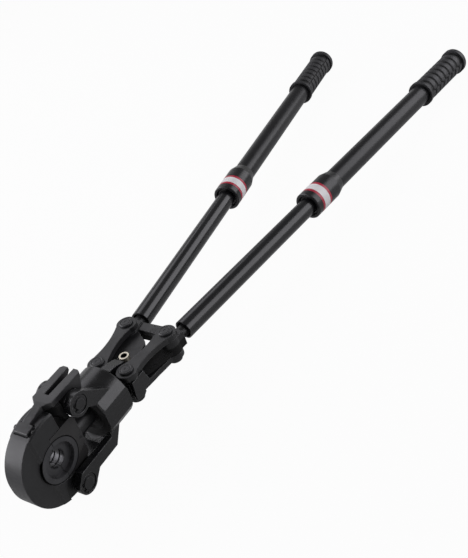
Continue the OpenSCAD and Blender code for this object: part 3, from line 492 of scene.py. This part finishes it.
def arc_points(centre, radius, first, last, count):
    """Points of an arc in the plane of Y and Z, its angles in degrees from Y towards Z."""
    points = []
    for i in range(count):
        angle = math.radians(first + (last - first) * i / (count - 1))
        points.append((centre[0] + radius * math.cos(angle), centre[1] + radius * math.sin(angle)))
    return points


def mirrored(half):
    """Slices of both sides, from those where X is positive."""
    return [(-x, outline) for x, outline in reversed(half)] + half


def lofted(name, slices, body, mat):
    """A closed piece through side outlines in millimetres, each at its own X, that rides on a body."""
    bm = bmesh.new()
    rings = []
    for x, outline in slices:
        rings.append([bm.verts.new((x * MM, y * MM, z * MM)) for y, z in outline])
    for first, second in zip(rings, rings[1:]):
        for i in range(len(first)):
            j = (i + 1) % len(first)
            bm.faces.new((first[i], first[j], second[j], second[i]))
    bm.faces.new(rings[0])
    bm.faces.new(rings[-1])
    bmesh.ops.recalc_face_normals(bm, faces=bm.faces)
    bmesh.ops.triangulate(bm, faces=bm.faces)
    mesh = bpy.data.meshes.new(name)
    bm.to_mesh(mesh)
    bm.free()
    mesh.materials.append(mat)
    piece = bpy.data.objects.new(name, mesh)
    bpy.context.scene.collection.objects.link(piece)
    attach(piece, body)


# Rib under the latch, in front of the keeper, in millimetres; its plan follows the lever's shoulders. It is
# painted shade: a dull black piece that fills the shaded gap between the latch and the jaw.
KEEPER = (36.2, 34.2)
RIB_SEAT = 11.2
RIB_SEAT_FIRST = 198
RIB_SEAT_LAST = 180
RIB_SEAT_POINTS = 4
RIB_TOP = 46.2
RIB_CHEEK_TOP = 44.0
RIB_FRONT_FOOT = 36
RIB_TOE = [(22.0, 28.0), (26.4, 26.1), (26.9, 26.5)]
RIB_BACK = 24.8
RIB_PLAN = (
    (5.0, 13.5, RIB_TOP),
    (10.7, 18.5, RIB_TOP),
    (11.2, 19.0, RIB_CHEEK_TOP),
    (12.3, 20.5, RIB_CHEEK_TOP),
)


def rib_outline(front, top):
    """The rib's side outline, from its front face round the toe and the keeper's seat to its top."""
    seat = arc_points(KEEPER, RIB_SEAT, RIB_SEAT_FIRST, RIB_SEAT_LAST, RIB_SEAT_POINTS)
    return [(front, top), (front, RIB_FRONT_FOOT), *RIB_TOE, *seat, (RIB_BACK, top)]


rib_half = [(x, rib_outline(front, top)) for x, front, top in RIB_PLAN]
lofted("latch_rib", mirrored(rib_half), "latch", PAINTED_SHADE_METAL)

# Lip of the fork's floor, in millimetres, hollowed round the jaw's hinge. It is painted shade: a dull black
# piece that fills the shaded gap between the jaw and the near arm.
HINGE = (8.3, -36.4)
LIP_HOLLOW = 10.4
LIP_FIRST = 55
LIP_LAST = -8
LIP_POINTS = 10
LIP_BACK = [(24.0, -37.0), (27.0, -34.0), (27.0, -27.2), (16.5, -27.0)]
LIP_HALF = 13.5
LIP_EDGE_X = 12.3
LIP_EDGE = 0.5


def lip_outline(hollow):
    """The lip's side outline, whose front is an arc of the given radius round the hinge."""
    return arc_points(HINGE, hollow, LIP_FIRST, LIP_LAST, LIP_POINTS) + LIP_BACK


lip_half = [(LIP_EDGE_X, lip_outline(LIP_HOLLOW)), (LIP_HALF, lip_outline(LIP_HOLLOW - LIP_EDGE))]
lofted("fork_lip", mirrored(lip_half), "head", PAINTED_SHADE_METAL)

# Floor, tilted so that the head and the grips both touch it
FLOOR_HEAD = Vector((0, 8 * MM, -47.6 * MM))
FLOOR_GRIP = Vector((0, 740 * MM, -17.4 * MM))
FLOOR_SIZE = 6.0
FLOOR_SEEN = 0.96
FLOOR_IN_GLOSS = 0.2
floor_mesh = bpy.data.meshes.new("floor")
slope = (FLOOR_GRIP.z - FLOOR_HEAD.z) / (FLOOR_GRIP.y - FLOOR_HEAD.y)
corners = []
for cx, cy in ((-1, -1), (1, -1), (1, 1), (-1, 1)):
    y = cy * FLOOR_SIZE
    corners.append((cx * FLOOR_SIZE, y, FLOOR_HEAD.z + (y - FLOOR_HEAD.y) * slope))
floor_mesh.from_pydata(corners, [], [(0, 1, 2, 3)])
floor = bpy.data.objects.new("floor", floor_mesh)
bpy.context.scene.collection.objects.link(floor)


def seen_share(tree, camera_share, gloss_share):
    """How much of the plain white is shown.

    Rays from the camera have one share, and those from gloss or through glass have the other.
    """
    path = tree.nodes.new("ShaderNodeLightPath")
    total = reckon(tree, "MULTIPLY", path.outputs["Is Camera Ray"], camera_share)
    for name in ("Is Glossy Ray", "Is Transmission Ray"):
        share = reckon(tree, "MULTIPLY", path.outputs[name], gloss_share)
        total = reckon(tree, "MAXIMUM", total, share)
    return total


def mix_shaders(tree, factor, first, second, output):
    """Sends the output a mix of two shaders: the first where the factor is 0."""
    mix = tree.nodes.new("ShaderNodeMixShader")
    for socket, value in zip(mix.inputs, (factor, first, second)):
        tree.links.new(value, socket)
    tree.links.new(mix.outputs["Shader"], output.inputs["Surface"])


floor_mat, floor_tree, floor_shader = node_tree("floor_white")
floor_noise = noise(floor_tree, object_coords(floor_tree), scale=3, detail=3)
floor_colour = blend_colour(floor_tree, floor_noise, (0.49, 0.49, 0.49), (0.51, 0.51, 0.51))
floor_tree.links.new(floor_colour, floor_shader.inputs["Base Color"])
floor_shader.inputs["Roughness"].default_value = 0.9
floor_shader.inputs["Specular IOR Level"].default_value = 0.1
glow = floor_tree.nodes.new("ShaderNodeEmission")
glow.inputs["Strength"].default_value = 1.0
floor_out = [n for n in floor_tree.nodes if n.type == "OUTPUT_MATERIAL"][0]
mix_shaders(floor_tree, seen_share(floor_tree, FLOOR_SEEN, FLOOR_IN_GLOSS),
            floor_shader.outputs["BSDF"], glow.outputs["Emission"], floor_out)
floor_mesh.materials.append(floor_mat)

# World: white to the camera, white round the horizon and dim overhead in gloss, even where it lights
AMBIENT = 0.24
AMBIENT_TINT = (0.97, 0.98, 1.0, 1)
WHITE = (1, 1, 1, 1)
CEILING = 0.2
HORIZON_FADE = (0.0, 0.3)
world = bpy.data.worlds.new("studio")
bpy.context.scene.world = world
world.use_nodes = True
world_tree = world.node_tree
world_tree.nodes.clear()
world_out = world_tree.nodes.new("ShaderNodeOutputWorld")
sky_height = world_tree.nodes.new("ShaderNodeSeparateXYZ")
directions = world_tree.nodes.new("ShaderNodeTexCoord").outputs["Generated"]
world_tree.links.new(directions, sky_height.inputs["Vector"])
to_camera = world_tree.nodes.new("ShaderNodeLightPath").outputs["Is Camera Ray"]
to_gloss = spread(world_tree, sky_height.outputs["Z"], low=1, high=CEILING, span=HORIZON_FADE)
seen = world_tree.nodes.new("ShaderNodeBackground")
seen.inputs["Color"].default_value = WHITE
world_tree.links.new(reckon(world_tree, "MAXIMUM", to_camera, to_gloss), seen.inputs["Strength"])
ambient = world_tree.nodes.new("ShaderNodeBackground")
ambient.inputs["Color"].default_value = AMBIENT_TINT
ambient.inputs["Strength"].default_value = AMBIENT
mix_shaders(world_tree, seen_share(world_tree, camera_share=1, gloss_share=1),
            ambient.outputs["Background"], seen.outputs["Background"], world_out)

# Lamps
LAMP_TINT = (0.96, 0.95, 1.0)
MIDDLE = (0, 0.25, 0)
HEAD = (0, 0, 0)


def soft_box(name, place, target, width, height, power):
    """A rectangular lamp at a place, turned to its target."""
    data = bpy.data.lights.new(name, "AREA")
    data.shape = "RECTANGLE"
    data.size = width
    data.size_y = height
    data.energy = power
    data.color = LAMP_TINT
    obj = bpy.data.objects.new(name, data)
    obj.location = place
    obj.rotation_euler = (Vector(target) - Vector(place)).to_track_quat("-Z", "Y").to_euler()
    bpy.context.scene.collection.objects.link(obj)


soft_box("left_box", (-0.95, -0.50, 0.50), HEAD, width=1.7, height=0.9, power=19)
soft_box("top_box", (-0.95, 0.80, 1.00), MIDDLE, width=1.0, height=0.8, power=3.5)
soft_box("back_box", (0.90, 1.02, 0.58), MIDDLE, width=1.7, height=0.9, power=11.5)

# Camera at the photo's view
CAMERA_PLACE = Vector((0.4709, -0.2490, 0.4729))
CAMERA_RIGHT = Vector((0.835, 0.494, -0.243))
CAMERA_FORWARD = Vector((-0.533, 0.616, -0.580)).normalized()
SENSOR = 36.0
FOCAL_PX = 801.0
PHOTO_HEIGHT_PX = 558.0
right = (CAMERA_RIGHT - CAMERA_FORWARD * CAMERA_RIGHT.dot(CAMERA_FORWARD)).normalized()
up = right.cross(CAMERA_FORWARD)
camera_data = bpy.data.cameras.new("camera")
camera_data.sensor_width = SENSOR
camera_data.lens = FOCAL_PX / PHOTO_HEIGHT_PX * SENSOR
camera_data.clip_start = 0.01
camera_data.clip_end = 50
camera = bpy.data.objects.new("camera", camera_data)
turn = Matrix((right, up, -CAMERA_FORWARD)).transposed()
camera.matrix_world = Matrix.Translation(CAMERA_PLACE) @ turn.to_4x4()
bpy.context.scene.collection.objects.link(camera)
bpy.context.scene.camera = camera
bpy.context.scene.view_settings.view_transform = "Standard"
